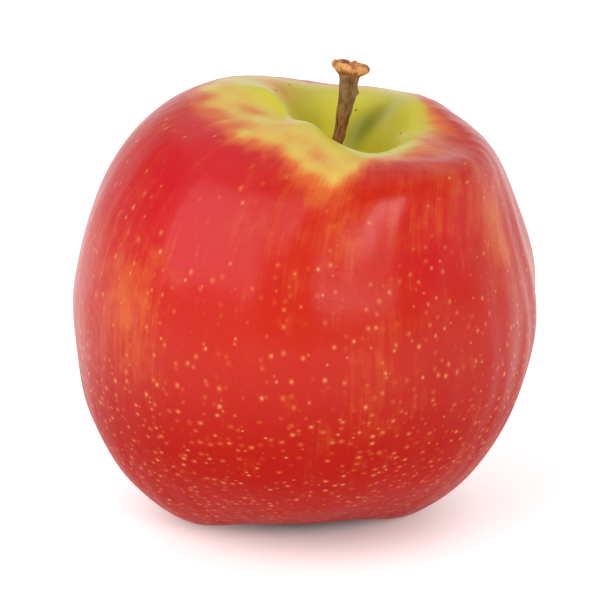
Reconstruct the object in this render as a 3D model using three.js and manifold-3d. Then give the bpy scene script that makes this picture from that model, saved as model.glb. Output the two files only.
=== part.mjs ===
// A fresh apple resting on its base: fruit, stem, five dried sepals and the dried stamens.
// Millimetres, +Z up. The origin is on the resting plane, under the middle of the apple.
// Bearings are degrees seen from above, 0 toward +X and 90 toward +Y.
import * as THREE from 'three';
import { mergeVertices } from 'three/addons/utils/BufferGeometryUtils.js';
import Module from 'manifold-3d';

// ---- Driving dimensions ----

// Outline of the fruit from the roof of the calyx basin, over the feet, cheek and shoulder, to the
// floor of the stem cavity, as [radius, height] control points of a smooth curve.
const OUTLINE = [
  [0, 9.5],
  [3.5, 9.0],
  [9.0, 4.0],
  [17.0, -1.2],
  [23.5, 1.5],
  [32.8, 9.9],
  [38.9, 23.7],
  [40.5, 39.7],
  [36.1, 55.0],
  [29.0, 67.6],
  [19.6, 71.0],
  [12.3, 69.0],
  [8.0, 60.0],
  [3.5, 56.5],
  [0, 56.0],
];

// Waves round the fruit: [times round, size, bearing of a high point].
const SHOULDER_HEIGHT_WAVES = [
  [0, 0.65, 0], // the same all round
  [1, 3.12, 174.8],
  [2, 1.36, 17.5],
  [3, 0.48, 29.1],
  [4, 0.44, 35.0],
];
const SHOULDER_REACH_WAVES = [
  [2, 0.158, 124.4],
  [3, 0.07, 74.8],
  [4, 0.025, 84.8],
];
const GIRTH_WAVES = [
  [2, 0.009, 54.0],
  [3, 0.007, 95.0],
];

const SHOULDER_SHIFT = [1.23, -0.37]; // sideways lean of the upper half
const CREST_SHIFT = [5.82, -0.88]; // sideways shift of the crest round the stem cavity
const PIT_SHIFT = [-3.1, -0.1]; // shift of the cavity floor from the middle of the crest
const BASE_SHIFT = [-1.32, 0]; // sideways shift of the base

// Shape of the stem cavity's lip: [bearing, half the bearings it covers, how much].
const LIP_PINCHES = [
  [175, 60, 0.28],
  [234, 80, 0.21],
  [150, 50, -0.24],
]; // drawn in toward the stem, as a share of its distance
const LIP_LIFTS = [
  [204, 45, -3.0],
  [43, 70, 0.24],
  [120, 60, -0.66],
]; // height of the lip
const WALL_LIFTS = [
  [329, 60, 3.5],
  [176, 50, 3.8],
]; // height between the lip and the floor of the cavity
const SHOULDER_LIFTS = [[194, 70, 0.19]]; // height of the shoulder outside the lip

const FEET = 5; // feet round the calyx basin
const FOOT_BEARING = -84; // bearing of the first foot
const FOOT_HEIGHT = 0.51; // half the height from a foot to the notch beside it
const FOOT_LIFT = [2.1, 0, 0, 0, 0.1]; // how far each foot stays off the resting plane
const FOOT_REACH = [-0.22, 0, 0, 0, 0]; // how far each foot moves out, as a share of its radius

const SEAT = [-0.06, -0.27, 0.17]; // moves the fruit to the middle and down onto its feet

const ROWS = 40; // rows of the fruit's surface from basin to cavity
const COLUMNS = 72; // columns of the fruit's surface round it

// Middle line of the stem from its foot to its upper end.
const STEM_LINE = [
  [3.85, -1.6, 57.05],
  [4.35, -1.6, 60.6],
  [5.45, -1.6, 65.6],
  [6.75, -1.55, 71.0],
  [7.45, -1.5, 76.0],
  [7.7, -1.5, 79.6],
];
// Stem outline from its foot over the torn end: [radius, share of the length].
const STEM_OUTLINE = [
  [0, 0],
  [1.0, 0.0],
  [1.2, 0.02],
  [1.05, 0.07],
  [0.92, 0.14],
  [0.87, 0.24],
  [0.88, 0.36],
  [0.95, 0.48],
  [1.07, 0.58],
  [1.24, 0.66],
  [1.36, 0.72],
  [1.43, 0.78],
  [1.5, 0.84],
  [1.62, 0.875],
  [1.95, 0.9],
  [2.45, 0.92],
  [2.7, 0.94],
  [2.75, 0.965],
  [2.55, 0.988],
  [2.25, 1.0],
  [1.8, 0.985],
  [1.3, 0.968],
  [0.7, 0.96],
  [0, 0.957],
];
const STEM_SIDES = 20;
const BUD_SCAR = { along: 0.73, bearing: 0, height: 0.5, length: 0.05, width: 0.45 };
const END_TILT = 0.35; // the torn end is this much higher on its -X side

// Sepals: middle line as [distance from the basin's axis, height], the same for all five.
const SEPAL_LINE = [
  [1.9, 8.75],
  [2.3, 7.7],
  [2.8, 6.75],
  [3.6, 5.95],
  [4.6, 5.45],
  [5.5, 5.35],
];
const SEPAL_HALF_WIDTH = 1.25;
const SEPAL_HALF_THICKNESS = 0.22;
const SEPAL_BEARINGS = [-80, -10, 63, 138, 205];
const SEPAL_LENGTH_SHARES = [1, 0.92, 1.05, 0.96, 1.02];

// Dried stamens: a short core with thin filaments leaning out of it.
const CORE_RADIUS = 0.75;
const CORE_SPAN = [6.6, 9.1];
const FILAMENTS = 9;
const FILAMENT_RADIUS = 0.17;
const FILAMENT_TIP_HEIGHTS = [4.7, 5.3, 4.4, 5.5, 4.9, 4.6, 5.4, 5.0, 4.5];
const FILAMENT_TIP_REACH = 1.15;

const BASIN_AXIS = [BASE_SHIFT[0] + SEAT[0], BASE_SHIFT[1] + SEAT[1]];

const { degToRad, smoothstep, lerp } = THREE.MathUtils;

// ---- Helpers ----

// A lathe turned about +Z with its seam and both ends closed, then moved vertex by vertex.
// place(row, turn) gives the position of the vertex on profile row `row` at the angle `turn`.
function closedLathe(profile, sides, place) {
  const lathe = new THREE.LatheGeometry(profile, sides);
  lathe.rotateX(Math.PI / 2);
  lathe.deleteAttribute('normal');
  lathe.deleteAttribute('uv');
  const position = lathe.getAttribute('position');
  for (let i = 0; i < position.count; i++) {
    const row = i % profile.length;
    const column = Math.floor(i / profile.length) % sides;
    const onAxis = row === 0 || row === profile.length - 1;
    const turn = onAxis ? 0 : (2 * Math.PI * column) / sides - Math.PI / 2;
    position.setXYZ(i, ...place(row, turn));
  }
  return withoutSlivers(mergeVertices(lathe, 1e-4));
}

// Drops the triangles that have closed up to a line at the ends of a lathe.
function withoutSlivers(geometry) {
  const from = geometry.getIndex().array;
  const kept = [];
  for (let i = 0; i < from.length; i += 3) {
    const [a, b, c] = [from[i], from[i + 1], from[i + 2]];
    if (a !== b && b !== c && c !== a) kept.push(a, b, c);
  }
  geometry.setIndex(kept);
  return geometry;
}

// Sum of waves round the fruit at a bearing in radians.
function waves(list, bearing) {
  let sum = 0;
  for (const [times, size, top] of list) {
    sum += size * Math.cos(times * (bearing - degToRad(top)));
  }
  return sum;
}

// Sum of single swells, each half a cosine wave from its bearing to nothing at the ends it covers.
function swells(list, bearing) {
  let sum = 0;
  for (const [centre, half, size] of list) {
    const from = bearing - degToRad(centre);
    const away = Math.abs(Math.atan2(Math.sin(from), Math.cos(from))) / degToRad(half);
    sum += size * (0.5 + 0.5 * Math.cos(Math.PI * Math.min(away, 1)));
  }
  return sum;
}

// Blend of one value per foot, each fading to nothing at its neighbours.
function perFoot(values, bearing) {
  let sum = 0;
  const spacing = (2 * Math.PI) / FEET;
  values.forEach((value, i) => {
    const from = bearing - degToRad(FOOT_BEARING) - i * spacing;
    const away = Math.atan2(Math.sin(from), Math.cos(from));
    if (Math.abs(away) < spacing) sum += value * (0.5 + 0.5 * Math.cos((away * Math.PI) / spacing));
  });
  return sum;
}

// ---- Fruit ----

// Smooth curve (uniform cubic B-spline) through the control points, flat where it meets the axis.
class OutlineCurve extends THREE.Curve {
  constructor(points) {
    super();
    this.arcLengthDivisions = 600;
    const last = points.length - 1;
    const before = [-points[1][0], points[1][1]];
    const after = [-points[last - 1][0], points[last - 1][1]];
    this.points = [before, ...points, after];
  }

  getPoint(t, target = new THREE.Vector2()) {
    const spans = this.points.length - 3;
    const span = Math.min(Math.floor(t * spans), spans - 1);
    const u = t * spans - span;
    const weights = [
      (1 - u) ** 3 / 6,
      (3 * u ** 3 - 6 * u ** 2 + 4) / 6,
      (-3 * u ** 3 + 3 * u ** 2 + 3 * u + 1) / 6,
      u ** 3 / 6,
    ];
    target.set(0, 0);
    weights.forEach((weight, i) => {
      target.x += weight * this.points[span + i][0];
      target.y += weight * this.points[span + i][1];
    });
    return target;
  }
}

function indexOfLargest(values) {
  return values.indexOf(Math.max(...values));
}

function makeFruit() {
  const outline = new OutlineCurve(OUTLINE).getSpacedPoints(ROWS);
  outline[0].x = 0;
  outline[ROWS].x = 0;
  const crestRow = indexOfLargest(outline.map((point) => point.y));
  const wideRow = indexOfLargest(outline.map((point) => point.x));
  const footRow = indexOfLargest(outline.map((point) => -point.y));
  const crest = outline[crestRow];
  const wide = outline[wideRow];
  const foot = outline[footRow];

  return closedLathe(outline, COLUMNS, (row, bearing) => {
    const { x: radius, y: height } = outline[row];
    const inCavity = row > crestRow;
    const inBasin = row < footRow;
    const isUpper = row > wideRow;

    const upper = isUpper ? smoothstep(height, wide.y, crest.y) : 0;
    const inward = isUpper ? smoothstep(wide.x - 2 - radius, 0, wide.x - 2 - crest.x) : 0;
    const lower = isUpper ? 0 : smoothstep(wide.y - height, 0, wide.y - foot.y);
    const footward = isUpper ? 0 : smoothstep(wide.x - 1 - radius, 0, wide.x - 1 - foot.x);
    const upperShare = inCavity ? 1 : upper;
    const crestShare = inCavity ? 1 : inward;
    const lowerShare = inBasin ? 1 : lower;
    const footShare = inBasin ? 1 : footward;
    const cavityFade = inCavity ? smoothstep(radius, 0, crest.x) : 1;
    const basinFade = inBasin ? smoothstep(radius, 0, foot.x) : 1;

    const lip = crestShare ** 4 * cavityFade;
    const wall = inCavity ? smoothstep(radius, 3, 10) * (1 - smoothstep(radius, 10, crest.x)) : 0;

    const girth = 1 + waves(GIRTH_WAVES, bearing);
    const reach =
      girth +
      crestShare * cavityFade * waves(SHOULDER_REACH_WAVES, bearing) +
      footShare * perFoot(FOOT_REACH, bearing) -
      lip * swells(LIP_PINCHES, bearing);
    const feet = perFoot(FOOT_LIFT, bearing) - FOOT_HEIGHT * waves([[FEET, 1, FOOT_BEARING]], bearing);
    const lift =
      upperShare * cavityFade * waves(SHOULDER_HEIGHT_WAVES, bearing) +
      upperShare * (1 - lip) * swells(SHOULDER_LIFTS, bearing) +
      lip * swells(LIP_LIFTS, bearing) +
      wall * swells(WALL_LIFTS, bearing) +
      lowerShare * basinFade * feet;

    const shift = [0, 1].map(
      (axis) =>
        SHOULDER_SHIFT[axis] * upperShare +
        CREST_SHIFT[axis] * crestShare +
        PIT_SHIFT[axis] * (1 - cavityFade) +
        BASE_SHIFT[axis] * lowerShare +
        SEAT[axis],
    );
    return [
      radius * reach * Math.cos(bearing) + shift[0],
      radius * reach * Math.sin(bearing) + shift[1],
      height + lift + SEAT[2],
    ];
  });
}

// ---- Stem ----

function makeStem() {
  const line = new THREE.CatmullRomCurve3(STEM_LINE.map((point) => new THREE.Vector3(...point)));
  const length = line.getLength();
  const outline = STEM_OUTLINE.map(([radius, along]) => new THREE.Vector2(radius, along * length));
  const sideways = new THREE.Vector3(0, 1, 0);
  const peak = indexOfLargest(STEM_OUTLINE.map(([, along]) => along));

  return closedLathe(outline, STEM_SIDES, (row, turn) => {
    const [radius, along] = STEM_OUTLINE[row];
    const centre = line.getPointAt(along);
    const up = line.getTangentAt(along);
    const across = new THREE.Vector3().crossVectors(sideways, up).normalize();
    const back = new THREE.Vector3().crossVectors(up, across);

    const headShare = smoothstep(along, 0.86, 0.95);
    const shaftShare = 1 - headShare;
    const uneven =
      headShare * (0.07 * Math.cos(2 * turn) + 0.05 * Math.cos(3 * turn + 1.1)) +
      shaftShare * (0.05 * Math.cos(2 * turn + 0.8) + 0.03 * Math.cos(5 * turn));
    const alongScar = (along - BUD_SCAR.along) / BUD_SCAR.length;
    const roundScar = (turn - degToRad(BUD_SCAR.bearing)) / BUD_SCAR.width;
    const onOutside = row > 1 && row < peak ? 1 : 0;
    const scar = onOutside * BUD_SCAR.height * Math.exp(-(alongScar ** 2) - roundScar ** 2);
    const reach = radius * (1 + uneven) + scar;
    const tilt = (-END_TILT * headShare * radius * Math.cos(turn)) / 2.6;

    const point = centre.clone();
    point.addScaledVector(across, reach * Math.cos(turn));
    point.addScaledVector(back, reach * Math.sin(turn));
    point.addScaledVector(up, tilt);
    return point.toArray();
  });
}

// ---- Sepals ----

// One dried sepal: widest near its foot, pointed at the tip, thin, and curled outward.
function makeSepal(bearingDegrees, lengthShare) {
  const rows = 12;
  const curve = new THREE.CatmullRomCurve3(
    SEPAL_LINE.map(([out, height]) => new THREE.Vector3(out, 0, height)),
  );
  const profile = [];
  for (let i = 0; i <= rows; i++) {
    const t = i / rows;
    const open = Math.min(1, t / 0.12) ** 0.5;
    const width = i === 0 || i === rows ? 0 : open * (1 - t) ** 0.7 * (1 + 0.6 * t);
    profile.push(new THREE.Vector2(width, i));
  }
  const bearing = degToRad(bearingDegrees);
  const outward = new THREE.Vector3(Math.cos(bearing), Math.sin(bearing), 0);
  const sidelong = new THREE.Vector3(-Math.sin(bearing), Math.cos(bearing), 0);

  return closedLathe(profile, 10, (row, turn) => {
    const t = (row / rows) * Math.min(1, lengthShare);
    const width = profile[row].x;
    const centre = curve.getPointAt(t);
    const along = curve.getTangentAt(t);
    const side = width * SEPAL_HALF_WIDTH * Math.cos(turn);
    const cup = 0.12 * side * side;
    const thick = Math.min(width, 0.8) * SEPAL_HALF_THICKNESS * Math.sin(turn);
    // (along.z, -along.x) is square to the middle line, on its outer and upper side.
    const out = centre.x + (-thick + cup) * along.z;
    const height = centre.z + (thick - cup) * along.x;
    const point = new THREE.Vector3(BASIN_AXIS[0], BASIN_AXIS[1], height);
    point.addScaledVector(outward, out);
    point.addScaledVector(sidelong, side);
    return point.toArray();
  });
}

// ---- Dried stamens ----

const wasm = await Module();
wasm.setup();

function toSolid(geometry) {
  return new wasm.Manifold(
    new wasm.Mesh({
      numProp: 3,
      vertProperties: new Float32Array(geometry.getAttribute('position').array),
      triVerts: new Uint32Array(geometry.getIndex().array),
    }),
  );
}

function toGeometry(solid) {
  const mesh = solid.getMesh();
  const geometry = new THREE.BufferGeometry();
  geometry.setAttribute('position', new THREE.BufferAttribute(mesh.vertProperties, 3));
  geometry.setIndex(new THREE.BufferAttribute(mesh.triVerts, 1));
  return geometry;
}

// A thin rod with rounded ends from one point to another.
function makeRod(from, to, radius, sides) {
  const profile = [
    [0, 0],
    [0.7, 0.01],
    [1, 0.06],
    [0.9, 0.5],
    [0.85, 0.86],
    [1.5, 0.92],
    [1.3, 0.98],
    [0, 1],
  ].map(([r, along]) => new THREE.Vector2(r * radius, along));
  const start = new THREE.Vector3(...from);
  const span = new THREE.Vector3(...to).sub(start);
  const up = span.clone().normalize();
  const turnUp = new THREE.Quaternion().setFromUnitVectors(new THREE.Vector3(0, 0, 1), up);
  return closedLathe(profile, sides, (row, turn) => {
    const { x: reach, y: along } = profile[row];
    const ring = new THREE.Vector3(reach * Math.cos(turn), reach * Math.sin(turn), 0);
    ring.applyQuaternion(turnUp);
    return ring.add(start).addScaledVector(span, along).toArray();
  });
}

function makeStamens() {
  const [x, y] = BASIN_AXIS;
  const [bottom, top] = CORE_SPAN;
  let clump = toSolid(makeRod([x, y, top], [x, y, bottom], CORE_RADIUS, 14));
  for (let i = 0; i < FILAMENTS; i++) {
    const bearing = (2 * Math.PI * i) / FILAMENTS + 0.35 * Math.sin(2.4 * i);
    const reach = FILAMENT_TIP_REACH * (0.8 + 0.2 * Math.cos(1.7 * i));
    const foot = [x + 0.35 * Math.cos(bearing), y + 0.35 * Math.sin(bearing), (bottom + top) / 2];
    const tip = [
      x + reach * Math.cos(bearing),
      y + reach * Math.sin(bearing),
      FILAMENT_TIP_HEIGHTS[i],
    ];
    clump = clump.add(toSolid(makeRod(foot, tip, FILAMENT_RADIUS, 7)));
  }
  return toGeometry(clump);
}

// The resting plane takes the tips off the feet and leaves a small flat on each.
function rest(geometry) {
  const below = new THREE.BoxGeometry(120, 120, 20);
  below.translate(0, 0, -10);
  below.deleteAttribute('normal');
  below.deleteAttribute('uv');
  return toGeometry(toSolid(geometry).subtract(toSolid(mergeVertices(below))));
}

// ---- The apple ----

const skin = new THREE.MeshStandardMaterial({ color: 0xc93426, roughness: 0.32, metalness: 0 });
const bark = new THREE.MeshStandardMaterial({ color: 0x77552f, roughness: 0.85, metalness: 0 });
const dryLeaf = new THREE.MeshStandardMaterial({ color: 0x6e5a3c, roughness: 0.95, metalness: 0 });
const dryThread = new THREE.MeshStandardMaterial({ color: 0x43301f, roughness: 0.95, metalness: 0 });

const group = new THREE.Group();

function addPiece(name, geometry, material) {
  const mesh = new THREE.Mesh(geometry, material);
  mesh.name = name;
  group.add(mesh);
}

addPiece('fruit', rest(makeFruit()), skin);
addPiece('stem', makeStem(), bark);
SEPAL_BEARINGS.forEach((bearing, i) => {
  addPiece(`sepal_${i + 1}`, makeSepal(bearing, SEPAL_LENGTH_SHARES[i]), dryLeaf);
});
addPiece('dried_stamens', makeStamens(), dryThread);

export default group;
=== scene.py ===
# A fresh apple resting on its feet: waxy skin, woody stem, five dried sepals and the dried stamens.
import math

import bpy
import numpy as np
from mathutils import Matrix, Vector


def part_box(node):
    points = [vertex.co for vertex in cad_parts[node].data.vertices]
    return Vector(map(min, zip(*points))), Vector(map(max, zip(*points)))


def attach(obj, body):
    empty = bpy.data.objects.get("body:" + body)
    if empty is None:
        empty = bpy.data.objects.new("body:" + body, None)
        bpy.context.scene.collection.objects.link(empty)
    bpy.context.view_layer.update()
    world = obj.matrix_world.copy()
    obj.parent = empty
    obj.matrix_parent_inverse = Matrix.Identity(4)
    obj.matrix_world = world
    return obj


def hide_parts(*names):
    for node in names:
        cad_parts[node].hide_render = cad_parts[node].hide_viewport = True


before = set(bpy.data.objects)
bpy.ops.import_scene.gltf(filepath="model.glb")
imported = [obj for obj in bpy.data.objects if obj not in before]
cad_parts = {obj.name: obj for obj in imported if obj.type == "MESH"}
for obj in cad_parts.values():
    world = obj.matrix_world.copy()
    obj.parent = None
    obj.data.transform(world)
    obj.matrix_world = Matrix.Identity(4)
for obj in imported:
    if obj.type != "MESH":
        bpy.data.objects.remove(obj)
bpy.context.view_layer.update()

TAU = 2.0 * math.pi

# Shapes are worked out in millimetres. Bearings are degrees seen from above, 0 toward +X and 90 toward +Y.

# Outline of the fruit from the roof of the calyx basin, over the feet, cheek and shoulder, to the floor of
# the stem cavity, as (radius, height) control points.
OUTLINE = [
    (0, 9.5), (3.5, 9.0), (9.0, 4.0), (17.0, -1.2), (23.5, 1.5), (32.8, 9.9), (38.9, 23.7), (40.5, 39.7),
    (36.1, 55.0), (29.0, 67.6), (19.6, 71.0), (12.3, 69.0), (8.0, 60.0), (3.5, 56.5), (0, 56.0),
]
# Waves round the fruit: (times round, size, bearing of a high point).
SHOULDER_HEIGHT_WAVES = [(0, 0.65, 0), (1, 3.12, 174.8), (2, 1.36, 17.5), (3, 0.48, 29.1), (4, 0.44, 35.0)]
SHOULDER_REACH_WAVES = [(2, 0.158, 124.4), (3, 0.07, 74.8), (4, 0.025, 84.8)]
GIRTH_WAVES = [(2, 0.009, 54.0), (3, 0.007, 95.0)]
# Sideways shifts (x, y) of the upper half, the crest of the cavity, the cavity's floor and the base.
SHOULDER_SHIFT = (1.23, -0.37)
CREST_SHIFT = (5.82, -0.88)
PIT_SHIFT = (-3.1, -0.1)
BASE_SHIFT = (-1.32, 0.0)
FEET = 5
FOOT_BEARING = -84.0  # of the first foot; the others follow at equal steps
FOOT_HEIGHT = 0.51  # half the height from a foot to the notch beside it
FOOT_LIFT = (2.1, 0, 0, 0, 0.1)  # how much each foot is raised
FOOT_REACH = (-0.22, 0, 0, 0, 0)  # how much farther out each foot stands, as a share of its distance
# Single swells: (bearing, half the bearings it covers, size). Pinches draw the lip of the cavity in toward
# the axis, as a share of its distance. Lifts, in millimetres, raise the lip, the wall of the cavity halfway
# down, and the shoulder outside the lip.
LIP_PINCHES = [(175, 60, 0.28), (234, 80, 0.21), (150, 50, -0.24)]
LIP_LIFTS = [(204, 45, -3.0), (43, 70, 0.24), (120, 60, -0.66)]
WALL_LIFTS = [(329, 60, 3.5), (176, 50, 3.8)]
WALL_RADIUS = 10.0  # where on the wall its lifts are greatest
SHOULDER_LIFTS = [(194, 70, 0.19)]
FLOOR_CUT = 0.33  # how much of the feet's tips the flat spots take off
BASIN_CENTRE = (-1.38, -0.27)  # of the calyx
PATTERN_RADIUS = 39.0  # the fruit's own radius, for patterns drawn round it
PATTERN_LENGTH = 40.0  # a pattern's run from calyx to stem


def smooth(x, low, high):
    """Smooth step from 0 at low to 1 at high: 3t^2 - 2t^3."""
    t = np.clip((x - low) / (high - low), 0.0, 1.0)
    return t * t * (3.0 - 2.0 * t)


def bump(x, centre, width):
    """Bell curve of height 1."""
    return np.exp(-(((x - centre) / width) ** 2))


def turned(angle, centre):
    """Signed difference between two bearings in degrees, from -180 to 180."""
    return (angle - centre + 180.0) % 360.0 - 180.0


def ripples(points, size, seed, count=20):
    """Soft unevenness with a spread of 1: a sum of sine waves in random directions, about `size` long."""
    rng = np.random.default_rng(seed)
    ways = rng.normal(size=(count, 3))
    ways /= np.linalg.norm(ways, axis=1, keepdims=True)
    ways *= TAU / (size * rng.uniform(0.7, 1.5, (count, 1)))
    phases = rng.uniform(0, TAU, count)
    total = np.zeros(points.shape[:-1])
    for way, phase in zip(ways, phases):
        total += np.sin(points @ way + phase)
    return total / math.sqrt(count / 2)


def spline(control, count, poles=False):
    """Uniform cubic B-spline, sampled at equal steps of its length.

    With poles, the ends are mirrored across the axis, so the curve meets it squarely; without, the ends
    are continued straight on, so the curve starts and ends on its end points.
    """
    p = np.array(control, float)
    if poles:
        mirror = np.ones(p.shape[1])
        mirror[0] = -1.0
        p = np.vstack([p[1] * mirror, p, p[-2] * mirror])
    else:
        p = np.vstack([2 * p[0] - p[1], p, 2 * p[-1] - p[-2]])
    t = np.linspace(0, len(p) - 3, 4000)
    i = np.minimum(t.astype(int), len(p) - 4)
    u = (t - i)[:, None]
    curve = (
        (1 - u) ** 3 / 6 * p[i]
        + (3 * u**3 - 6 * u**2 + 4) / 6 * p[i + 1]
        + (-3 * u**3 + 3 * u**2 + 3 * u + 1) / 6 * p[i + 2]
        + u**3 / 6 * p[i + 3]
    )
    length = np.concatenate([[0], np.cumsum(np.linalg.norm(np.diff(curve, axis=0), axis=1))])
    steps = np.linspace(0, length[-1], count)
    return np.stack([np.interp(steps, length, curve[:, k]) for k in range(p.shape[1])], axis=1)


def waves(listed, bearing):
    """Sum of cosine waves round the fruit; bearing in degrees."""
    return sum(size * np.cos(np.radians(times * (bearing - top))) for times, size, top in listed)


def per_foot(values, bearing):
    """One value per foot, each fading as half a cosine wave to nothing at its neighbours."""
    spacing = 360.0 / FEET
    total = 0.0
    for i, value in enumerate(values):
        away = np.abs(turned(bearing, FOOT_BEARING + i * spacing))
        total = total + value * np.where(away < spacing, 0.5 + 0.5 * np.cos(np.pi * away / spacing), 0.0)
    return total


def swells(listed, bearing):
    """Sum of single swells, each half a cosine wave from its bearing to nothing at the ends it covers."""
    total = 0.0
    for centre, half, size in listed:
        away = np.minimum(np.abs(turned(bearing, centre)) / half, 1.0)
        total = total + size * (0.5 + 0.5 * np.cos(np.pi * away))
    return total


# ---- Meshes ----


def grid_faces(rows, columns, first=0):
    """Faces of a closed grid whose first and last rows are single points, counter-clockwise outside."""
    i = np.arange(rows - 3)[:, None] * columns + first + 1
    j = np.arange(columns)[None, :]
    k = (j + 1) % columns
    quads = np.stack([i + j, i + k, i + columns + k, i + columns + j], axis=-1).reshape(-1, 4)
    last = first + 1 + (rows - 2) * columns
    ring = last - columns
    start = [(first, first + 1 + int(b), first + 1 + int(a)) for a, b in zip(j[0], k[0])]
    end = [(last, ring + int(a), ring + int(b)) for a, b in zip(j[0], k[0])]
    return quads.tolist() + start + end


def flatten(grid):
    """A grid's values as one list of points, with one value for each end row."""
    return np.concatenate([grid[:1, 0], grid[1:-1].reshape(-1, *grid.shape[2:]), grid[-1:, 0]])


def closed_piece(name, grids, attributes=None):
    """One object from closed grids in millimetres, with attributes given on the same grids."""
    points, faces = [], []
    for grid in grids:
        faces += grid_faces(grid.shape[0], grid.shape[1], sum(len(p) for p in points))
        points.append(flatten(grid))
    mesh = bpy.data.meshes.new(name)
    mesh.from_pydata((np.concatenate(points) / 1000.0).tolist(), [], faces)
    mesh.update()
    mesh.shade_smooth()
    for label, values in (attributes or {}).items():
        flat = np.concatenate([flatten(v) for v in values])
        kind = "FLOAT_VECTOR" if flat.ndim == 2 else "FLOAT"
        data = mesh.attributes.new(label, kind, "POINT").data
        data.foreach_set("vector" if flat.ndim == 2 else "value", flat.astype(np.float32).ravel())
    piece = bpy.data.objects.new(name, mesh)
    bpy.context.scene.collection.objects.link(piece)
    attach(piece, "root")
    return piece


def turn_grid(rows, columns):
    """Bearings round a grid in degrees, one column each."""
    return np.broadcast_to(np.arange(columns) * 360.0 / columns, (rows, columns))


# ---- Fruit ----

# Where the red starts round the cavity: (bearing, millimetres outside the crest, width of the change).
RED_EDGE = np.array([
    (0, -2, 13), (22, 1, 11), (45, 3.5, 7), (110, 2.0, 4), (140, 4.0, 4.5), (163, 6.4, 4.5),
    (250, 8.0, 4.2), (259, 9.6, 5.5), (270, 11.0, 8.5), (283, 1.5, 8), (300, -2, 8), (330, -5, 12),
])
RED_FLOOR = 48.0  # below this height the skin is red all round
# Patches of thinner red: (x, y, z, half width across, half length along, how much thinner).
THIN_RED = (
    (-29.0, -25.8, 46, 8.5, 13.0, 0.32),
    (-33.0, -15.0, 50, 4.0, 8.0, 0.15),
    (31.6, -17.2, 55, 4.2, 9.0, 0.36),
    (5.0, -30.0, 62.5, 5.0, 9.0, 0.22),
    (-3.0, -33.5, 57, 8.0, 12.0, 0.08),
    (12.0, -37.5, 35, 7.0, 13.0, 0.14),
    (21.0, -24.0, 63, 12.0, 11.0, 0.15),
    (22.0, 31.0, 50, 9.0, 16.0, 0.38),
    (-8.0, 37.0, 45, 7.0, 15.0, 0.30),
    (-30.0, 21.0, 52, 8.0, 13.0, 0.32),
    (36.0, 10.0, 40, 5.0, 12.0, 0.22),
)
# A pale hairline across the front left shoulder: its ends, half its width, and how much it thins the red.
HAIRLINE = ((-0.3, -25.9, 67.2), (-12.5, -26.3, 64.1))
HAIRLINE_WIDTH = 0.75
HAIRLINE_PALE = 0.5
# The fold down the back wall of the cavity, to the right of the stem.
FOLD_BEARING = 75.0
FOLD_SLANT = -1.7  # degrees for each millimetre up the wall
FOLD_WIDTH = 15.0
FOLD_DEPTH = 0.5
FRUIT_ROWS = 262
FRUIT_COLUMNS = 350


def fruit_shape():
    """The fruit's smooth shape, as points and what each of them needs to know about its place on the fruit.

    Each point is the outline turned by its bearing: x = radius * reach * cos + shift, y the same with sin,
    and z = height + lift. Above the widest place, cosine waves and swells give reach and lift, so that the
    shoulder rises and the lip is drawn in; below it, five cosine lobes make the feet. Returns the points,
    bearings, outline radii, shares of the way from basin to cavity, and millimetres outside the crest.
    """
    outline = spline(OUTLINE, FRUIT_ROWS, poles=True)
    radius, height = outline[:, :1], outline[:, 1:]
    row = np.arange(FRUIT_ROWS)[:, None]
    crest, wide, foot = (int(np.argmax(v)) for v in (height, radius, -height))
    wide_radius, wide_height = radius[wide, 0], height[wide, 0]
    in_cavity, in_basin, is_upper = row > crest, row < foot, row > wide

    upper = np.where(is_upper, smooth(height, wide_height, height[crest, 0]), 0.0)
    inward = smooth(wide_radius - 2 - radius, 0, wide_radius - 2 - radius[crest, 0])
    inward = np.where(is_upper, inward, 0.0)
    lower = np.where(is_upper, 0.0, smooth(wide_height - height, 0, wide_height - height[foot, 0]))
    footward = smooth(wide_radius - 1 - radius, 0, wide_radius - 1 - radius[foot, 0])
    footward = np.where(is_upper, 0.0, footward)
    upper, inward = np.where(in_cavity, 1.0, upper), np.where(in_cavity, 1.0, inward)
    lower, footward = np.where(in_basin, 1.0, lower), np.where(in_basin, 1.0, footward)
    cavity_fade = np.where(in_cavity, smooth(radius, 0, radius[crest, 0]), 1.0)
    basin_fade = np.where(in_basin, smooth(radius, 0, radius[foot, 0]), 1.0)

    bearing = turn_grid(FRUIT_ROWS, FRUIT_COLUMNS)
    reach = 1 + waves(GIRTH_WAVES, bearing) + inward * cavity_fade * waves(SHOULDER_REACH_WAVES, bearing)
    lip = inward**4 * cavity_fade
    reach = reach + footward * per_foot(FOOT_REACH, bearing) - lip * swells(LIP_PINCHES, bearing)
    feet = per_foot(FOOT_LIFT, bearing) - FOOT_HEIGHT * waves([(FEET, 1, FOOT_BEARING)], bearing)
    wall = in_cavity * smooth(radius, 3, WALL_RADIUS) * (1 - smooth(radius, WALL_RADIUS, radius[crest, 0]))
    lift = upper * cavity_fade * waves(SHOULDER_HEIGHT_WAVES, bearing) + lower * basin_fade * feet
    lift = lift + wall * swells(WALL_LIFTS, bearing) + lip * swells(LIP_LIFTS, bearing)
    lift = lift + upper * (1 - lip) * swells(SHOULDER_LIFTS, bearing)
    angle = np.radians(bearing)
    pit = 1 - cavity_fade
    shifts = zip(SHOULDER_SHIFT, CREST_SHIFT, PIT_SHIFT, BASE_SHIFT)
    shift = [by_half * upper + by_crest * inward + by_pit * pit + by_base * lower
             for by_half, by_crest, by_pit, by_base in shifts]
    x = radius * reach * np.cos(angle) + shift[0]
    y = radius * reach * np.sin(angle) + shift[1]
    points = np.stack([x, y, height + lift], axis=-1)
    outside = (crest - row) * np.hypot(*(outline[crest + 1] - outline[crest]))
    return points, bearing, radius, row / (FRUIT_ROWS - 1), outside


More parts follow.
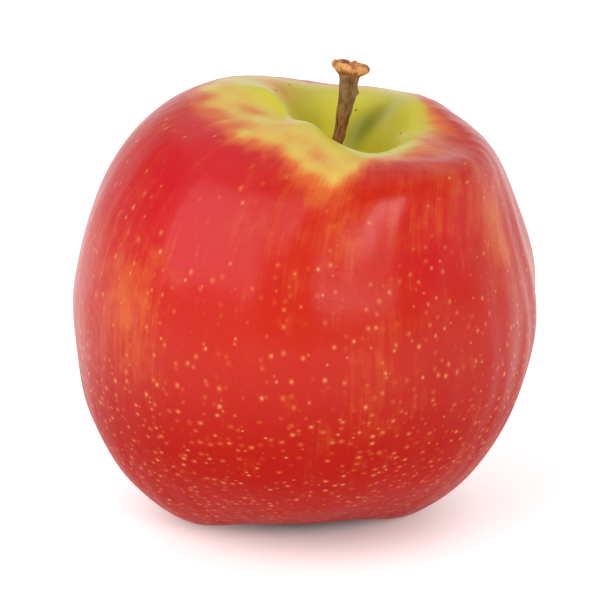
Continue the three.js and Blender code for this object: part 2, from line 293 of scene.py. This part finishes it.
def outward(points):
    """Unit normals of a closed grid, from the cross product of its two directions."""
    east = np.roll(points, -1, axis=1) - np.roll(points, 1, axis=1)
    north = np.gradient(points, axis=0)
    normal = np.cross(east, north)
    length = np.linalg.norm(normal, axis=-1, keepdims=True)
    normal = normal / np.maximum(length, 1e-9)
    normal[0], normal[-1] = (0, 0, -1), (0, 0, 1)
    return normal


def seated(points):
    """The points stretched to the frame's box of the fruit, with the feet's tips cut flat at the floor."""
    low, high = (np.array(corner) * 1000.0 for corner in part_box("fruit"))
    low = low - np.array([0, 0, FLOOR_CUT])
    have_low, have_high = points.min(axis=(0, 1)), points.max(axis=(0, 1))
    points = (points - have_low) / (have_high - have_low) * (high - low) + low
    points[..., 2] = np.maximum(points[..., 2], 0.0)
    return points


def round_space(radius, bearing, height):
    """Coordinates that follow the skin: `radius` out at the bearing, and `height` up."""
    angle = np.radians(bearing)
    up = np.broadcast_to(height, bearing.shape)
    return np.stack([radius * np.cos(angle), radius * np.sin(angle), up], axis=-1)


def with_relief(points, bearing, radius, along, outside):
    """The points with relief along their normals, seated in the frame's box, and the strength of the fold.

    The relief is a sum: slow ripples, finer ones on the cheeks, waves on the right cheek, less the fold,
    which is a bell curve across a slanting line and another along it. It fades to nothing at both poles.
    """
    ribs = round_space(PATTERN_RADIUS, bearing, along * PATTERN_LENGTH)
    fold_line = FOLD_BEARING + np.clip(outside + 12, 0, 9) * FOLD_SLANT
    fold = bump(turned(bearing, fold_line), 0, FOLD_WIDTH) * bump(outside, -9, 5.5)
    right_cheek = bump(turned(bearing, 350), 0, 38) * bump(along, 0.5, 0.2)
    relief = (
        0.09 * ripples(points, 15.0, 3)
        + 0.035 * smooth(radius, 12, 30) * ripples(ribs, 5.0, 5)
        + 0.12 * right_cheek * ripples(ribs, 8.0, 8)
        - FOLD_DEPTH * fold
    )
    moved = points + outward(points) * relief[..., None] * smooth(radius, 0.0, 6.0)[..., None]
    return seated(moved), fold


def red_cover(points, bearing, outside):
    """How much red covers the ground, 0 to 1, and how far outside the crest it starts at each bearing.

    Red is a smooth step across its edge. A thin flush covers some of the ground inside the edge; patches,
    each a bell curve across and along the fruit, and a hairline thin the red outside it.
    """
    bearings = np.concatenate([RED_EDGE[:, 0] - 360, RED_EDGE[:, 0], RED_EDGE[:, 0] + 360])
    edge = np.interp(bearing, bearings, np.tile(RED_EDGE[:, 1], 3))
    softness = np.interp(bearing, bearings, np.tile(RED_EDGE[:, 2], 3))
    edge = edge + 0.35 * ripples(points, 9.0, 11) + 0.2 * ripples(points, 3.5, 13)
    x, y, z = np.moveaxis(points, -1, 0)
    blush = np.where(z > RED_FLOOR, smooth((outside - edge) / softness, -0.5, 0.5), 1.0)

    flush = 0.22 * smooth(outside, -1, 4) * (1 + 0.4 * ripples(points, 5.0, 12))
    flush += 0.32 * bump(turned(bearing, 132), 0, 20) * bump(outside, -3, 5)
    blush = blush + (1 - blush) * np.clip(flush, 0, 0.6)

    for px, py, pz, across, length, amount in THIN_RED:
        facing = math.atan2(py, px)
        sideways = (x - px) * -math.sin(facing) + (y - py) * math.cos(facing)
        away = (x - px) ** 2 + (y - py) ** 2 + (z - pz) ** 2 - sideways**2
        blush = blush * (1 - amount * np.exp(-((sideways / across) ** 2) - away / length**2))

    start, end = np.array(HAIRLINE)
    span = np.clip((points - start) @ (end - start) / ((end - start) @ (end - start)), 0, 1)
    gap = np.linalg.norm(points - start - span[..., None] * (end - start), axis=-1)
    blush = blush * (1 - HAIRLINE_PALE * bump(gap, 0, HAIRLINE_WIDTH) * (1 - 0.6 * span))
    return blush, edge


def lenticel_space(bearing, along):
    """A globe whose grid of lenticels is finer toward the base and drawn out toward the stem."""
    latitude = np.interp(along, (0, 0.18, 0.45, 0.75, 1), (0, 0.13, 0.48, 0.76, 1))
    latitude = np.radians(-90 + 180 * latitude)
    ball = PATTERN_RADIUS * (1 + 0.30 * smooth(-along, -0.45, -0.2))
    return round_space(ball * np.cos(latitude), bearing, ball * np.sin(latitude))


def make_fruit():
    """The whole fruit as one closed grid, with what its skin needs to know at each point as attributes."""
    points, bearing, radius, along, outside = fruit_shape()
    points, fold = with_relief(points, bearing, radius, along, outside)
    blush, edge = red_cover(points, bearing, outside)
    z = points[..., 2]
    cavity = np.where(z > RED_FLOOR, 1 - smooth(outside - np.minimum(edge, 0), -3, 5), 0.0)
    left_cheek = bump(turned(bearing, 222), 0, 34) * smooth(z, 38, 60)
    right_spot = 0.8 * bump(turned(bearing, 306), 0, 13) * bump(z, 57, 9)
    attributes = {
        "blush": [blush],
        "cavity": [cavity],
        # The fold's strength, also used for its olive tint and painted shade.
        "crimson": [np.maximum(left_cheek, right_spot)],
        "fold_tint_and_shade": [fold],
        "low": [1 - smooth(z, 8, 58)],
        "dotted": [1 - 0.72 * smooth(z, 42, 66)],
        "dots": [lenticel_space(bearing, along)],
        "grain": [round_space(1.0, bearing, along)],
    }
    fruit = closed_piece("apple_fruit", [points], attributes)
    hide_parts("fruit")
    return fruit


# ---- Stem ----

# The middle of the stem, from its foot to its head: (x, y, z).
STEM_LINE = [
    (3.85, -1.6, 57.05), (4.35, -1.6, 60.6), (5.45, -1.6, 65.6), (6.75, -1.55, 71.0), (7.45, -1.5, 76.0),
    (7.7, -1.5, 79.6),
]
STEM_LENGTH = 23.2
# From the foot, up the shaft, over the torn end: (radius, share of the length).
STEM_OUTLINE = [
    (0, 0), (0.8, 0.0), (1.1, 0.01), (1.1, 0.03), (1.0, 0.07), (0.9, 0.14), (0.85, 0.24), (0.87, 0.36),
    (0.94, 0.48), (1.06, 0.58), (1.24, 0.66), (1.38, 0.73), (1.45, 0.79), (1.5, 0.84), (1.6, 0.875),
    (1.86, 0.9), (2.4, 0.92), (2.8, 0.938), (2.9, 0.96), (2.75, 0.985), (2.35, 0.992), (1.8, 0.98),
    (1.2, 0.968), (0.6, 0.96), (0, 0.957),
]
STEM_ROWS = 340
STEM_COLUMNS = 120


def along_line(line, share):
    """Points and directions at shares of a line's length."""
    curve = spline(line, 400)
    at = np.linspace(0, 1, 400)
    slope = np.gradient(curve, axis=0)
    slope /= np.linalg.norm(slope, axis=1, keepdims=True)
    places = [np.interp(share, at, axis) for axis in curve.T]
    directions = [np.interp(share, at, axis) for axis in slope.T]
    return np.stack(places, axis=-1), np.stack(directions, axis=-1)


def make_stem():
    """A turned outline bent along the stem's line, with fibres, cracks, a bud scar and a torn, cupped end.

    Each point is the line's point at its share, plus reach along two directions square to the line, plus
    lift along it; reach is the outline's radius, made uneven by cosine waves, ripples and the scar's bell.
    """
    outline = spline([(r, s * STEM_LENGTH) for r, s in STEM_OUTLINE], STEM_ROWS, poles=True)
    radius, along = outline[:, 0], outline[:, 1] / STEM_LENGTH
    bearing = turn_grid(STEM_ROWS, STEM_COLUMNS)
    angle = np.radians(bearing)
    share = np.broadcast_to(along[:, None], bearing.shape)
    base = np.broadcast_to(radius[:, None], bearing.shape)
    centre, up = along_line(STEM_LINE, along)
    across = np.cross([0, 1, 0], up)
    across /= np.linalg.norm(across, axis=1, keepdims=True)
    back = np.cross(up, across)

    head = smooth(share, 0.86, 0.95)
    peak = int(np.argmax(along))
    outside = (np.arange(STEM_ROWS) < peak)[:, None]
    fibre_space = np.stack([np.cos(angle) * 4, np.sin(angle) * 4, share * 7], axis=-1)
    lump_space = np.stack([np.cos(angle) * base, np.sin(angle) * base, share * STEM_LENGTH], axis=-1)
    fibres = ripples(fibre_space, 1.1, 21) * 0.03 + ripples(fibre_space, 0.45, 22) * 0.02
    cracks = -0.07 * smooth(ripples(fibre_space, 1.4, 23), 0.9, 1.7) * (1 - head)
    lumps = ripples(lump_space, 3.0, 24) * 0.035 + head * ripples(lump_space, 2.0, 25) * 0.10
    uneven = head * (0.07 * np.cos(2 * angle) + 0.05 * np.cos(3 * angle + 1.1))
    uneven = uneven + (1 - head) * 0.05 * np.cos(2 * angle + 0.8)
    scar = outside * 0.45 * bump(share, 0.775, 0.022) * bump(turned(bearing, 350), 0, 22)
    reach = base * (1 + uneven) + (fibres + cracks + lumps) * smooth(base, 0.0, 1.0) + scar
    tilt = -head * base / 2.6 * (0.30 * np.cos(angle) + 0.28 * np.sin(angle))
    lift = tilt + head * (0.07 * ripples(lump_space, 1.1, 26) + 0.07 * ripples(lump_space, 2.2, 27))
    points = centre[:, None, :] + across[:, None, :] * (reach * np.cos(angle))[..., None]
    points = points + back[:, None, :] * (reach * np.sin(angle))[..., None]
    points = points + up[:, None, :] * lift[..., None]
    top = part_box("stem")[1][2] * 1000.0
    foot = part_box("stem")[0][2] * 1000.0
    z = points[..., 2]
    points[..., 2] = foot + (z - z.min()) * (top - foot) / (z.max() - z.min())

    inside_end = np.where(outside, 0.0, 1.0) * np.ones_like(base)
    attributes = {
        "fibre": [fibre_space],
        "head": [head],
        "torn": [inside_end],
        "share": [share],
        "groove": [cracks * 10],
    }
    stem = closed_piece("apple_stem", [points], attributes)
    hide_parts("stem")
    return stem


# ---- Calyx ----

SEPAL_LINE = [(1.9, 8.75), (2.3, 7.7), (2.8, 6.75), (3.6, 5.95), (4.6, 5.45), (5.5, 5.35)]
SEPAL_BEARINGS = (-80, -10, 63, 138, 205)
SEPAL_LENGTHS = (1, 0.92, 1.0, 0.96, 1.0)


def make_sepal(number, bearing, length):
    """A thin dry leaf bent down and out, with a keel along its middle and a wavy edge.

    Its middle follows the sepals' line out along its bearing. Round it go a turn's cosine times the width
    there, sideways, and its sine times the thickness, square to the line.
    """
    rows, columns = 60, 48
    t = np.linspace(0, 1, rows)
    width = np.minimum(1, t / 0.12) ** 0.5 * (1 - t) ** 0.7 * (1 + 0.6 * t)
    width[0] = width[-1] = 0.0
    line = spline([(r, 0, z) for r, z in SEPAL_LINE], rows)
    line = np.stack([np.interp(t * length, np.linspace(0, 1, rows), line[:, k]) for k in range(3)], axis=1)
    slope = np.gradient(line, axis=0)
    slope /= np.linalg.norm(slope, axis=1, keepdims=True)
    angle = np.radians(turn_grid(rows, columns))
    side = 1.22 * width[:, None] * np.cos(angle)
    rim = np.abs(np.cos(angle)) ** 3
    wrinkle = 0.12 * rim * width[:, None] * np.sin(t[:, None] * 19 + number * 1.7)
    keel = 0.10 * bump(side, 0, 0.25) * width[:, None]
    cup = 0.12 * side**2 + wrinkle - keel
    thick = 0.17 * np.minimum(width, 0.8)[:, None] * np.sin(angle)
    out = line[:, 0, None] + (-thick + cup) * slope[:, 2, None]
    height = line[:, 2, None] + (thick - cup) * slope[:, 0, None]
    facing = math.radians(bearing)
    points = np.stack(
        [
            BASIN_CENTRE[0] + out * math.cos(facing) - side * math.sin(facing),
            BASIN_CENTRE[1] + out * math.sin(facing) + side * math.cos(facing),
            height,
        ],
        axis=-1,
    )
    sepal = closed_piece("apple_sepal_%d" % number, [points])
    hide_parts("sepal_%d" % number)
    return sepal


def thread(start, end, bend, radius, rows=16, columns=8):
    """A closed thread from start to end, bowed sideways by bend, with a rounded tip twice as thick."""
    t = np.linspace(0, 1, rows)
    start, end, bend = (np.array(v, float) for v in (start, end, bend))
    line = start + (end - start) * t[:, None] + bend * (4 * t * (1 - t))[:, None]
    slope = np.gradient(line, axis=0)
    slope /= np.linalg.norm(slope, axis=1, keepdims=True)
    across = np.cross(slope, [0.3, 0.9, 0.1])
    across /= np.linalg.norm(across, axis=1, keepdims=True)
    back = np.cross(slope, across)
    thick = radius * (1 - 0.4 * t + 1.2 * bump(t, 0.92, 0.06))
    thick[0] = thick[-1] = 0.0
    angle = np.radians(turn_grid(rows, columns))
    return (
        line[:, None]
        + across[:, None] * (thick[:, None] * np.cos(angle))[..., None]
        + back[:, None] * (thick[:, None] * np.sin(angle))[..., None]
    )


def make_stamens():
    """A short core with 24 dry threads leaning out of it, each bowed and tipped with a shrunken anther."""
    rng = np.random.default_rng(41)
    x, y = BASIN_CENTRE
    grids = [thread((x, y, 9.05), (x, y, 6.7), (0.08, -0.05, 0), 0.8, rows=30, columns=28)]
    for i in range(24):
        facing = TAU * i / 24 + rng.uniform(-0.1, 0.1)
        near, far = rng.uniform(0.2, 0.5), rng.uniform(0.55, 1.15)
        foot = (x + near * math.cos(facing), y + near * math.sin(facing), 7.9)
        tip = (x + far * math.cos(facing), y + far * math.sin(facing), rng.uniform(4.5, 5.9))
        grids.append(thread(foot, tip, rng.uniform(-0.15, 0.15, 3) * (1, 1, 0), 0.1))
    tuft = closed_piece("apple_dried_stamens", grids)
    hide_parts("dried_stamens")
    return tuft


# ---- Materials ----


def colour(code):
    """An sRGB hex value as linear RGBA."""
    values = [int(code[i : i + 2], 16) / 255.0 for i in (1, 3, 5)]
    return [v / 12.92 if v <= 0.04045 else ((v + 0.055) / 1.055) ** 2.4 for v in values] + [1.0]


# Settings that many nodes share.
SMOOTH = {"interpolation_type": "SMOOTHSTEP"}
COLOURS = {"data_type": "RGBA", "out": 2}
TIMES = {"operation": "MULTIPLY"}
TIMES_PLUS = {"operation": "MULTIPLY_ADD"}
BELOW = {"operation": "LESS_THAN"}


def add(tree, kind, inputs=(), out=0, **settings):
    """Adds a node, sets its settings, links or sets its inputs, and returns one of its outputs.

    Inputs are listed in the node's own order, or given by name or number.
    """
    node = tree.nodes.new("ShaderNode" + kind)
    for key, value in settings.items():
        setattr(node, key, value)
    for key, value in inputs.items() if isinstance(inputs, dict) else enumerate(inputs):
        if isinstance(value, bpy.types.NodeSocket):
            tree.links.new(value, node.inputs[key])
        else:
            node.inputs[key].default_value = value
    return node.outputs[out] if node.outputs else None


def material(name):
    """An empty material; returns it and its node tree."""
    made = bpy.data.materials.new(name)
    made.use_nodes = True
    made.node_tree.nodes.clear()
    return made, made.node_tree


def two_tone(tree, pattern, start, end, dark, light):
    """A colour that goes from dark to light as the pattern goes from start to end."""
    blend = add(tree, "MapRange", (pattern, start, end), **SMOOTH)
    return add(tree, "Mix", {0: blend, 6: colour(dark), 7: colour(light)}, **COLOURS)


def waxed_skin():
    """Red apple skin: a thin natural wax over red streaks on a yellow-green ground, with pale lenticels.

    The wax gives soft, clear reflections, faintest toward the base, where it is thin. The streaks run from
    stem to calyx, so they follow the fruit's own bearings. They are 0.6 to 3.5 mm wide, and lenticels 0.4 to
    1 mm across.
    """
    made, tree = material("waxed_apple_skin")
    blush, cavity, crimson, fold_tint_and_shade, low, dotted = (
        add(tree, "Attribute", out="Fac", attribute_name=name)
        for name in ("blush", "cavity", "crimson", "fold_tint_and_shade", "low", "dotted")
    )
    grain = add(tree, "Attribute", out="Vector", attribute_name="grain")
    dots = add(tree, "Attribute", out="Vector", attribute_name="dots")
    place = add(tree, "TexCoord", out="Object")

    # Streaks, (how fine round the fruit, how fine from calyx to stem, detail, roughness), and 5 mm clouds.
    streaks = []
    for around, along, detail, roughness in ((62, 16, 4, 0.65), (11, 7, 4, 0.6), (34, 3.5, 2, 0.6)):
        space = add(tree, "VectorMath", (grain, (around, around, along)), **TIMES)
        inputs = {"Vector": space, "Scale": 1.0, "Detail": detail, "Roughness": roughness}
        streaks.append(add(tree, "TexNoise", inputs, out="Fac"))
    fine, broad, long = streaks
    clouds = {"Vector": place, "Scale": 210.0, "Detail": 5.0, "Roughness": 0.6}
    clouds = add(tree, "TexNoise", clouds, out="Fac")

    # The blush varied by each of them about its own value, less where there is little red.
    uneven = 0.0
    for pattern, amount in ((fine, 0.30), (broad, 0.30), (long, 0.22), (clouds, 0.55)):
        swing = add(tree, "MapRange", (pattern, 0.0, 1.0, -amount / 2, amount / 2), clamp=False)
        uneven = add(tree, "Math", (swing, uneven))
    by_red = add(tree, "MapRange", (blush, 0.0, 0.8, 0.3, 0.95), **SMOOTH)
    uneven = add(tree, "Math", (uneven, by_red), **TIMES)
    varied = add(tree, "Math", (blush, 0.96, uneven), **TIMES_PLUS)

    # Ground, olive in the fold of the cavity, partly its own deeper tint and partly painted shade; orange
    # where the red is thin; red, darker toward the base as painted shade.
    skin = add(tree, "Mix", {0: cavity, 6: colour("#D8B850"), 7: colour("#C8BC34")}, **COLOURS)
    # Painted shade, partly real tint: the fold of the cavity is darkened toward olive.
    shade = add(tree, "Math", (fold_tint_and_shade, 0.85), **TIMES)
    skin = add(tree, "Mix", {0: shade, 6: skin, 7: colour("#6C6C14")}, **COLOURS)
    thin = add(tree, "MapRange", (varied, 0.05, 0.55), **SMOOTH)
    skin = add(tree, "Mix", {0: thin, 6: skin, 7: colour("#D4682C")}, **COLOURS)
    red = add(tree, "Mix", {0: crimson, 6: colour("#BC220E"), 7: colour("#C2151E")}, **COLOURS)
    # Painted shade: the red darkens toward the base, where less light falls.
    base_painted_shade = add(tree, "MapRange", (low, 0.0, 1.0, 0.0, 0.9), **SMOOTH)
    red = add(tree, "Mix", {0: base_painted_shade, 6: red, 7: colour("#A2150C")}, **COLOURS)
    full = add(tree, "MapRange", (varied, 0.40, 0.94), **SMOOTH)
    skin = add(tree, "Mix", {0: full, 6: skin, 7: red}, **COLOURS)

    # Lenticels: one in each cell of a grid, of varied size, each a pale core in a fainter ring.
    cells = {"Vector": dots, "Scale": 0.60, "Randomness": 1.0}
    cells = add(tree, "TexVoronoi", cells, out="Distance", feature="F1")
    chance = add(tree, "SeparateColor", {0: cells.node.outputs["Color"]}).node.outputs
    size = add(tree, "MapRange", (chance[0], 0.0, 1.0, 0.12, 0.24), **SMOOTH)
    grown = add(tree, "MapRange", (low, 0.1, 1.0, 0.9, 1.2), **SMOOTH)
    size = add(tree, "Math", (size, grown), **TIMES)
    nearness = add(tree, "Math", (cells, size), operation="DIVIDE")
    core = add(tree, "MapRange", (nearness, 0.3, 1.0, 1.0, 0.0), **SMOOTH)
    halo = add(tree, "MapRange", (nearness, 0.6, 2.0, 1.0, 0.0), **SMOOTH)
    shown = add(tree, "MapRange", (blush, 0.35, 0.8), **SMOOTH)
    shown = add(tree, "Math", (shown, add(tree, "Math", (chance[1], dotted), **BELOW)), **TIMES)
    pale = add(tree, "MapRange", (chance[2], 0.0, 1.0, 0.25, 0.65), **SMOOTH)
    for spread, amount, tone in ((halo, 0.4, "#D2602C"), (core, pale, "#CE9C6C")):
        cover = add(tree, "Math", (add(tree, "Math", (spread, shown), **TIMES), amount), **TIMES)
        skin = add(tree, "Mix", {0: cover, 6: skin, 7: colour(tone)}, **COLOURS)

    # A few dark specks of grit in the cavity, up to 0.6 mm across.
    grit = {"Vector": place, "Scale": 420.0, "Randomness": 1.0}
    grit = add(tree, "TexVoronoi", grit, out="Distance", feature="F1")
    chance = add(tree, "SeparateColor", {0: grit.node.outputs["Color"]}).node.outputs
    size = add(tree, "MapRange", (chance[0], 0.0, 1.0, 0.05, 0.13), **SMOOTH)
    speck = add(tree, "Math", (grit, size), **BELOW)
    kept = add(tree, "Math", (cavity, add(tree, "Math", (chance[1], 0.45), **BELOW)), **TIMES)
    speck = add(tree, "Math", (add(tree, "Math", (speck, kept), **TIMES), 0.7), **TIMES)
    skin = add(tree, "Mix", {0: speck, 6: skin, 7: colour("#4A3C20")}, **COLOURS)

    # Wax and skin texture: pores and faint furrows a few tenths of a millimetre across, over soft dents.
    pores = add(tree, "TexNoise", {"Vector": place, "Scale": 2600.0, "Detail": 3.0}, out="Fac")
    texture = add(tree, "Math", (fine, 0.5, add(tree, "Math", (core, 0.3), **TIMES)), **TIMES_PLUS)
    texture = add(tree, "Math", (pores, 0.5, texture), **TIMES_PLUS)
    relief = add(tree, "Bump", {"Height": texture, "Strength": 0.06, "Distance": 0.0002})
    relief = add(tree, "Bump", {"Height": clouds, "Normal": relief, "Strength": 0.5, "Distance": 0.0005})
    inputs = {
        "Base Color": skin,
        "Roughness": add(tree, "MapRange", (pores, 0.2, 0.8, 0.29, 0.38), **SMOOTH),
        "IOR": 1.42,
        "Specular IOR Level": add(tree, "MapRange", (low, 0.1, 0.9, 0.19, 0.04), **SMOOTH),
        "Coat Weight": add(tree, "MapRange", (low, 0.3, 0.9, 0.3, 0.0), **SMOOTH),
        "Coat Roughness": 0.2,
        "Coat IOR": 1.35,
        "Normal": relief,
    }
    add(tree, "OutputMaterial", {"Surface": add(tree, "BsdfPrincipled", inputs)})
    return made


def stem_bark():
    """Dry apple-stem bark: thin brown skin over fibres, grey-brown above, with a torn orange-brown end.

    It is matt; its fibres are about 0.1 mm wide and over 1 mm long, and its patches 1.4 mm across.
    """
    made, tree = material("dry_stem_bark")
    head, torn, share, groove = (
        add(tree, "Attribute", out="Fac", attribute_name=name)
        for name in ("head", "torn", "share", "groove")
    )
    fibre = add(tree, "Attribute", out="Vector", attribute_name="fibre")
    place = add(tree, "TexCoord", out="Object")
    streak = {"Vector": fibre, "Scale": 2.4, "Detail": 5.0, "Roughness": 0.7}
    streak = add(tree, "TexNoise", streak, out="Fac")
    patch = add(tree, "TexNoise", {"Vector": place, "Scale": 700.0, "Detail": 4.0}, out="Fac")
    speck = add(tree, "TexNoise", {"Vector": place, "Scale": 3200.0, "Detail": 3.0}, out="Fac")
    wood = two_tone(tree, streak, 0.36, 0.64, "#5E3616", "#B87A3A")
    grey = two_tone(tree, patch, 0.4, 0.6, "#54401F", "#8E7448")
    upper = add(tree, "MapRange", (share, 0.45, 0.78), **SMOOTH)
    blotched = add(tree, "MapRange", (patch, 0.35, 0.6, 0.3, 0.9), **SMOOTH)
    upper = add(tree, "Math", (upper, blotched), **TIMES)
    bark = add(tree, "Mix", {0: upper, 6: wood, 7: grey}, **COLOURS)

    end = two_tone(tree, patch, 0.4, 0.62, "#A86430", "#DCA064")
    dark_speck = add(tree, "MapRange", (speck, 0.6, 0.75, 0.0, 0.6), **SMOOTH)
    end = add(tree, "Mix", {0: dark_speck, 6: end, 7: colour("#5A3418")}, **COLOURS)
    bark = add(tree, "Mix", {0: head, 6: bark, 7: end}, **COLOURS)
    pith = two_tone(tree, patch, 0.42, 0.6, "#8E4A22", "#D09052")
    bark = add(tree, "Mix", {0: torn, 6: bark, 7: pith}, **COLOURS)
    crack = add(tree, "MapRange", (groove, -0.8, -0.2, 0.8, 0.0), **SMOOTH)
    bark = add(tree, "Mix", {0: crack, 6: bark, 7: colour("#2A180A")}, **COLOURS)

    texture = add(tree, "Math", (streak, speck))
    inputs = {
        "Base Color": bark,
        "Roughness": add(tree, "MapRange", (streak, 0.3, 0.7, 0.75, 0.95), **SMOOTH),
        "Normal": add(tree, "Bump", {"Height": texture, "Strength": 0.5, "Distance": 0.00025}),
    }
    add(tree, "OutputMaterial", {"Surface": add(tree, "BsdfPrincipled", inputs)})
    return made


def dry_leaf(name, dark, light, scale):
    """Dry plant tissue: brown, matt and faintly mottled, with fine ridges."""
    made, tree = material(name)
    place = add(tree, "TexCoord", out="Object")
    mottle = add(tree, "TexNoise", {"Vector": place, "Scale": scale, "Detail": 5.0}, out="Fac")
    inputs = {
        "Base Color": two_tone(tree, mottle, 0.35, 0.65, dark, light),
        "Roughness": 0.92,
        "Normal": add(tree, "Bump", {"Height": mottle, "Strength": 0.5, "Distance": 0.0002}),
    }
    add(tree, "OutputMaterial", {"Surface": add(tree, "BsdfPrincipled", inputs)})
    return made


# ---- Studio ----

# In metres and degrees.
LENS = 240.0  # millimetres, on a sensor 36 mm wide
CAMERA_DISTANCE = 0.7
CAMERA_ELEVATION = 19.0
CAMERA_TARGET = (0.0005, 0.0, 0.0357)
LIGHT_TARGET = (0.0, 0.0, 0.04)
# Soft boxes: name, direction from the apple, distance, width and height, radiance.
SOFT_BOXES = (
    ("left_soft_box", (-0.59, -0.50, 0.62), 0.9, (0.8, 0.8), 2.7),
    ("left_reflector", (-0.62, -0.60, 0.45), 1.1, (1.3, 1.3), 0.35),
    ("right_soft_box", (0.44, -0.79, 0.42), 0.9, (0.36, 0.33), 8.6),
    ("top_soft_box", (0.10, 0.35, 0.9), 1.3, (2.2, 1.7), 0.58),
)
FLOOR_HALF = 4.0


def look_from(aimed, place, target):
    """Places an object and points its -Z axis at a target."""
    aimed.location = place
    aimed.rotation_euler = (Vector(target) - Vector(place)).to_track_quat("-Z", "Y").to_euler()


def make_camera():
    """A long lens above the horizon, looking along +Y."""
    lens = bpy.data.cameras.new("camera")
    lens.sensor_width = 36.0
    lens.lens = LENS
    lens.clip_end = 20.0
    camera = bpy.data.objects.new("camera", lens)
    bpy.context.scene.collection.objects.link(camera)
    x, y, z = CAMERA_TARGET
    elevation = math.radians(CAMERA_ELEVATION)
    place = (x, y - CAMERA_DISTANCE * math.cos(elevation), z + CAMERA_DISTANCE * math.sin(elevation))
    look_from(camera, place, CAMERA_TARGET)
    bpy.context.scene.camera = camera


def soft_light(name, toward, distance, size, radiance):
    """A rectangular soft box in the direction `toward`, facing the apple."""
    data = bpy.data.lights.new(name, "AREA")
    data.shape = "RECTANGLE"
    data.size, data.size_y = size
    data.energy = radiance * math.pi * size[0] * size[1]
    light = bpy.data.objects.new(name, data)
    bpy.context.scene.collection.objects.link(light)
    look_from(light, Vector(LIGHT_TARGET) + Vector(toward).normalized() * distance, LIGHT_TARGET)


def make_room():
    """A white room: bright behind the apple, dim behind the camera and overhead, brighter on the right."""
    world = bpy.data.worlds.new("white_room")
    world.use_nodes = True
    tree = world.node_tree
    tree.nodes.clear()
    x, y, z = add(tree, "SeparateXYZ", {0: add(tree, "TexCoord", out="Generated")}).node.outputs
    backdrop = add(tree, "MapRange", (y, -0.55, 0.45, 0.12, 1.25), **SMOOTH)
    ceiling = add(tree, "MapRange", (z, 0.2, 0.5, 1.0, 0.35), **SMOOTH)
    side = add(tree, "MapRange", (x, -1.0, 1.0, 0.5, 1.2))
    strength = add(tree, "Math", (add(tree, "Math", (backdrop, ceiling), **TIMES), side), **TIMES)
    sky = add(tree, "Background", {"Color": (1, 1, 1, 1), "Strength": strength})
    add(tree, "OutputWorld", {"Surface": sky})
    bpy.context.scene.world = world


def make_floor():
    """A white floor sheet that glows as painted light, except close under the apple, where its missing glow
    is painted shadow, so that the rest is pure white.
    """
    mesh = bpy.data.meshes.new("floor")
    half = FLOOR_HALF
    corners = [(-half, -half, 0), (half, -half, 0), (half, half, 0), (-half, half, 0)]
    mesh.from_pydata(corners, [], [(0, 1, 2, 3)])
    floor = bpy.data.objects.new("floor", mesh)
    bpy.context.scene.collection.objects.link(floor)
    made, tree = material("white_floor_painted_glow")
    away = add(tree, "VectorMath", {0: add(tree, "TexCoord", out="Object")}, out="Value", operation="LENGTH")
    inputs = {
        "Base Color": colour("#F7F7F7"),
        "Roughness": 0.5,
        "Emission Color": (1, 1, 1, 1),
        # Painted glow, fading to a painted shadow close under the apple.
        "Emission Strength": add(tree, "MapRange", (away, 0.004, 0.034, 0.0, 0.42), **SMOOTH),
    }
    add(tree, "OutputMaterial", {"Surface": add(tree, "BsdfPrincipled", inputs)})
    mesh.materials.append(made)


make_camera()
make_room()
make_floor()
for soft_box in SOFT_BOXES:
    soft_light(*soft_box)
bpy.context.scene.view_settings.view_transform = "Standard"
bpy.context.scene.view_settings.look = "None"

make_fruit().data.materials.append(waxed_skin())
make_stem().data.materials.append(stem_bark())
leaf = dry_leaf("dry_sepal", "#4A3A22", "#8A7448", 2200.0)
for number, (bearing, length) in enumerate(zip(SEPAL_BEARINGS, SEPAL_LENGTHS), start=1):
    make_sepal(number, bearing, length).data.materials.append(leaf)
make_stamens().data.materials.append(dry_leaf("dry_stamen", "#241810", "#5C4328", 3000.0))
